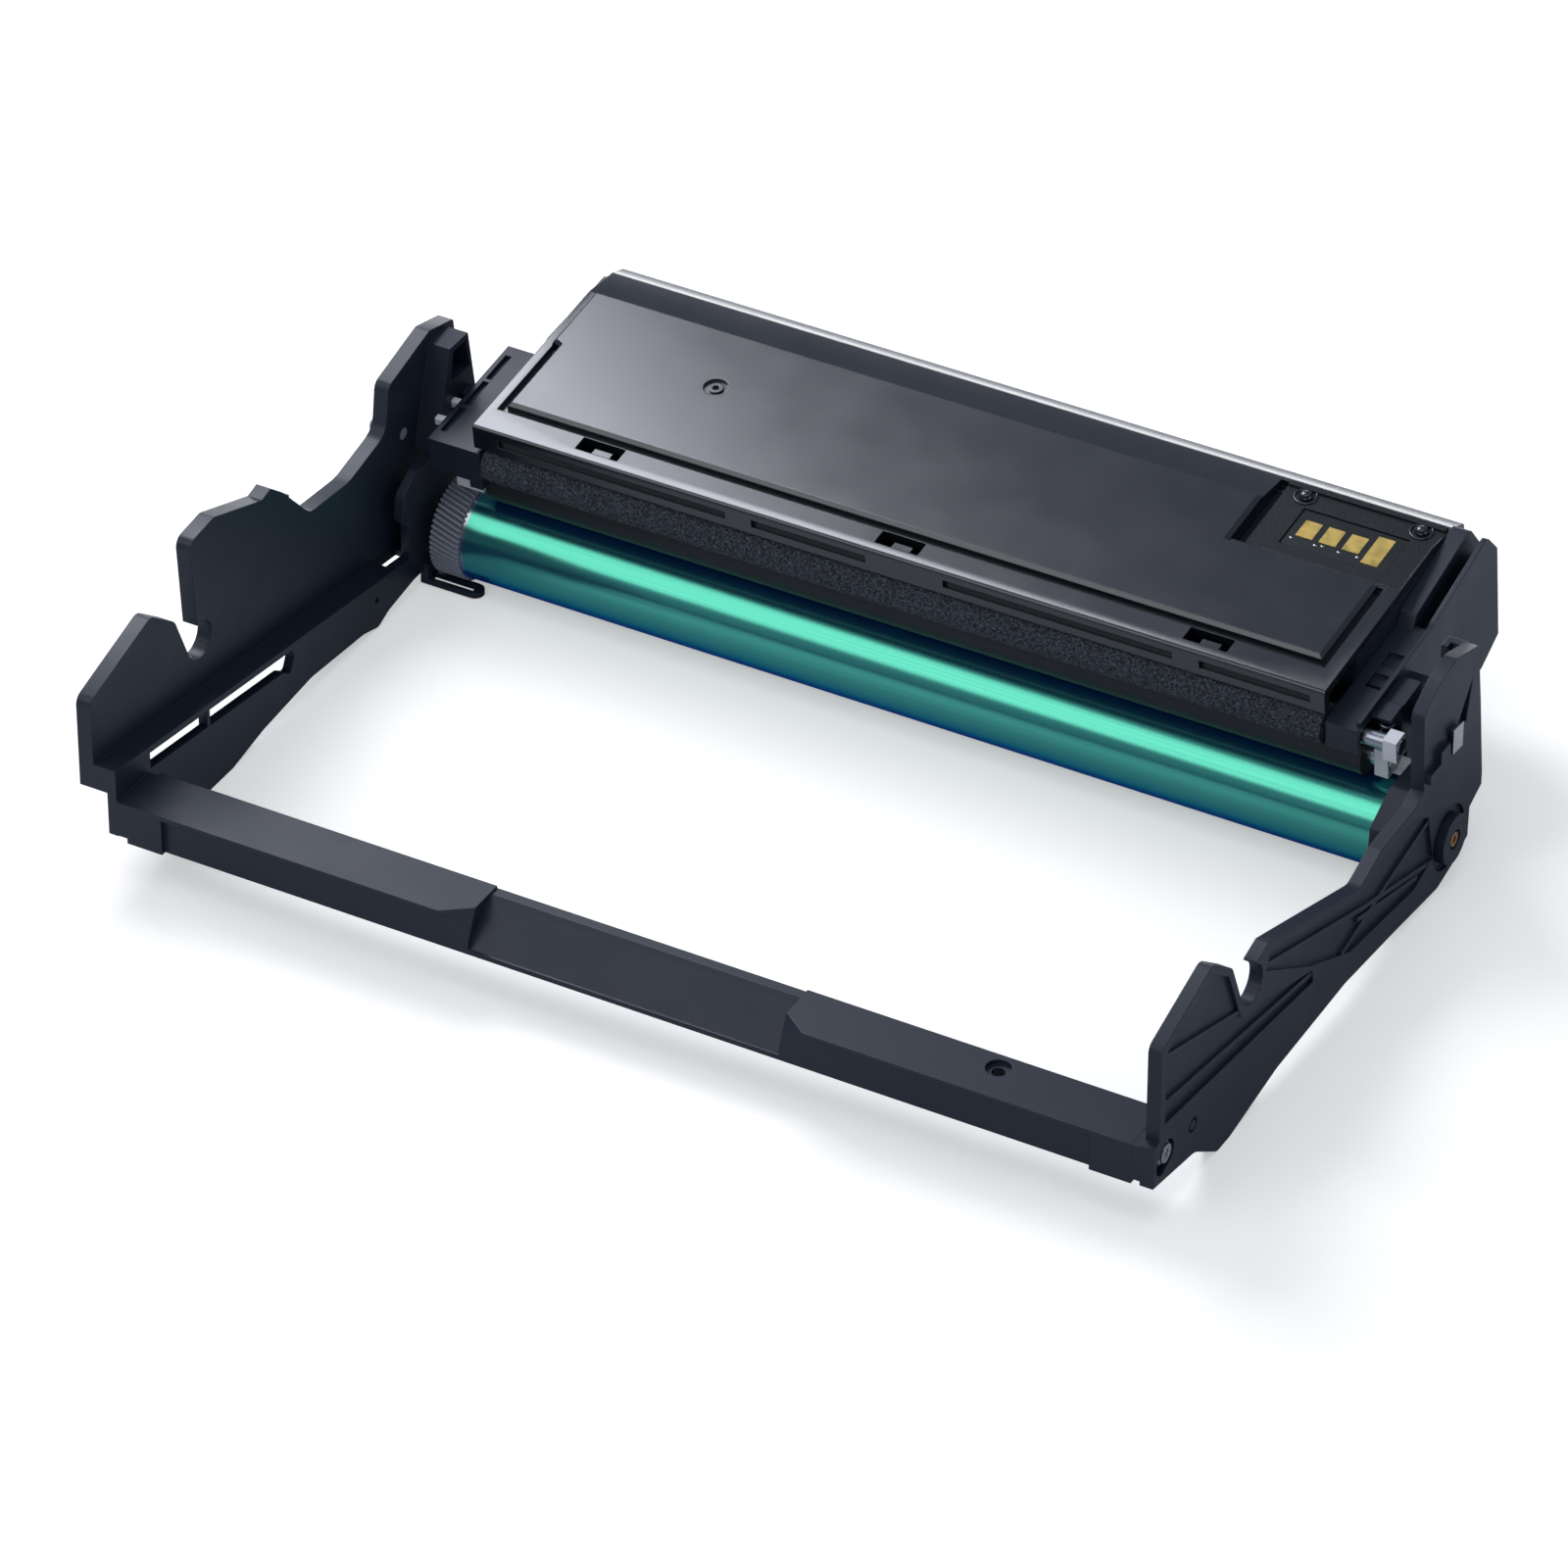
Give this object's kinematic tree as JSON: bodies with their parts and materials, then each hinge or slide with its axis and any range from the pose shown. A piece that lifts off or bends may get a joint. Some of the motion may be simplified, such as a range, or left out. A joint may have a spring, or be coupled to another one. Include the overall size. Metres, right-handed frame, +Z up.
{
  "type": "printer drum unit",
  "caption": "Laser printer drum unit: open carrier frame with a photoconductor drum, charge roller, sponge roller, waste toner housing and chip contacts.",
  "frame": {"origin": "centre of the unit's outer box, on the table that it stands on", "axes": "+X along the drum towards the end with the screw, +Y from the front cross bar towards the waste housing, +Z up"},
  "size_m": [0.289, 0.2163, 0.0671],
  "materials": {
    "black_plastic": "fine moulded texture",
    "lid_plastic": "satin",
    "grey_plastic": "moulded",
    "white_plastic": "moulded",
    "drum_coating": "mirror-smooth coating on aluminium",
    "steel": "ground",
    "nickel": "plated",
    "brass": "turned",
    "dark_rubber": "smooth",
    "sponge": "open cell",
    "blade_rubber": "smooth",
    "film": "thin polyester film",
    "board": "solder resist",
    "gold": "gold plated"
  },
  "bodies": {
    "carrier": {"left_side_arm": "black_plastic", "guide_peg": "grey_plastic", "right_side_arm": "black_plastic", "contact_terminal": "nickel", "front_cross_bar": "black_plastic", "bar_screws": "nickel", "drum_shaft": "steel", "shaft_screw": "brass", "charge_bush_left": "white_plastic", "charge_bush_right": "white_plastic", "cleaning_bush_left": "grey_plastic", "cleaning_bush_right": "grey_plastic", "bush_springs": "nickel", "waste_housing": "black_plastic", "housing_lid": "lid_plastic", "chip_holder": "black_plastic", "chip_board": "board", "chip_contacts": "gold", "left_end_cover": "black_plastic", "right_end_cover": "black_plastic", "blade_bracket": "steel", "cleaning_blade": "blade_rubber", "recovery_film": "film", "end_seals": "sponge", "blade_screws": "nickel"},
    "drum": {"drum_tube": "drum_coating", "drum_gear": "grey_plastic", "drum_flange": "grey_plastic"},
    "charge_roller": {"charge_roller_core": "steel", "charge_roller_sleeve": "dark_rubber"},
    "cleaning_roller": {"cleaning_roller_core": "steel", "cleaning_roller_sponge": "sponge"}
  },
  "joints": [
    {"name": "drum_spin", "type": "hinge", "parent": "carrier", "child": "drum", "pos_m": [0, 0.04212, 0.0128], "axis": [1, 0, 0], "continuous": true},
    {"name": "charge_roller_spin", "type": "hinge", "parent": "carrier", "child": "charge_roller", "pos_m": [0, 0.04145, 0.03109], "axis": [1, 0, 0], "continuous": true},
    {"name": "cleaning_roller_spin", "type": "hinge", "parent": "carrier", "child": "cleaning_roller", "pos_m": [0, 0.03468, 0.04014], "axis": [1, 0, 0], "continuous": true}
  ],
  "couplings": [
    {"joint": "charge_roller_spin", "follows": "drum_spin", "ratio": -2},
    {"joint": "cleaning_roller_spin", "follows": "drum_spin", "ratio": 2.4}
  ]
}
